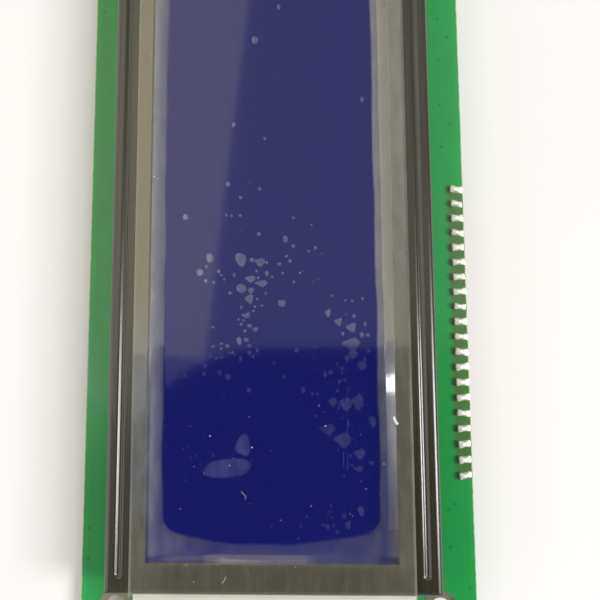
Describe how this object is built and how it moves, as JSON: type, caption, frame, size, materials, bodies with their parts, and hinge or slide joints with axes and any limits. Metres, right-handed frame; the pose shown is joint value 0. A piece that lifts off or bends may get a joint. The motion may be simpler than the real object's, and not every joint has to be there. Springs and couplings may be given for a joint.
{
  "type": "graphic LCD module",
  "caption": "Flat graphic display module: blue LCD cell and edge-lit backlight under a folded black steel bezel on a green circuit board, with a rear pin header and a clear film.",
  "frame": {"origin": "centre of the four mounting holes, on the back face of the circuit board", "axes": "+X along the board towards the backlight's tail, +Y across the board towards the pin header, +Z out of the display towards the viewer"},
  "size_m": [0.13, 0.065, 0.019],
  "materials": {
    "solder_mask": "glossy green mask on glass-epoxy",
    "tinned_copper": "dull tin",
    "bezel_paint": "satin black paint on steel",
    "front_polariser": "deep blue, glossy",
    "cell_glass": "clear float glass",
    "seal_resin": "cured resin",
    "rear_polariser": "grey-blue, glossy",
    "zebra_rubber": "silicone with carbon layers",
    "backlight_plastic": "white moulded plastic",
    "reflector_film": "white, glossy",
    "guide_acrylic": "polished clear acrylic",
    "diffuser_film": "matt white",
    "led_board_mask": "white mask",
    "led_phosphor": "yellow phosphor in white cups",
    "solder": "bright solder",
    "header_plastic": "black glass-filled nylon",
    "pin_plating": "thin gold on brass",
    "chip_epoxy": "black cured epoxy",
    "moulding_epoxy": "black moulded epoxy",
    "lead_tin": "tin",
    "resistor_ceramic": "black glaze with tinned ends",
    "capacitor_ceramic": "tan ceramic with tinned ends",
    "film_pet": "clear polyester film"
  },
  "bodies": {
    "root": {"circuit_board": "solder_mask", "mounting_rings": "tinned_copper", "bezel": "bezel_paint", "front_polariser": "front_polariser", "front_glass": "cell_glass", "cell_seal": "seal_resin", "rear_glass": "cell_glass", "rear_polariser": "rear_polariser", "zebra_strip_left": "zebra_rubber", "zebra_strip_right": "zebra_rubber", "backlight_frame": "backlight_plastic", "backlight_reflector": "reflector_film", "light_guide": "guide_acrylic", "diffuser_sheet": "diffuser_film", "led_board": "led_board_mask", "led_chips": "led_phosphor", "backlight_legs": "lead_tin", "backlight_solder": "solder", "header_strip": "header_plastic", "header_pins": "pin_plating", "header_solder": "solder", "common_driver_cap": "chip_epoxy", "segment_driver_cap_1": "chip_epoxy", "segment_driver_cap_2": "chip_epoxy", "segment_driver_cap_3": "chip_epoxy", "voltage_inverter": "moulding_epoxy", "inverter_leads": "lead_tin", "chip_resistors": "resistor_ceramic", "chip_capacitors": "capacitor_ceramic", "protective_film": "film_pet"}
  },
  "joints": []
}
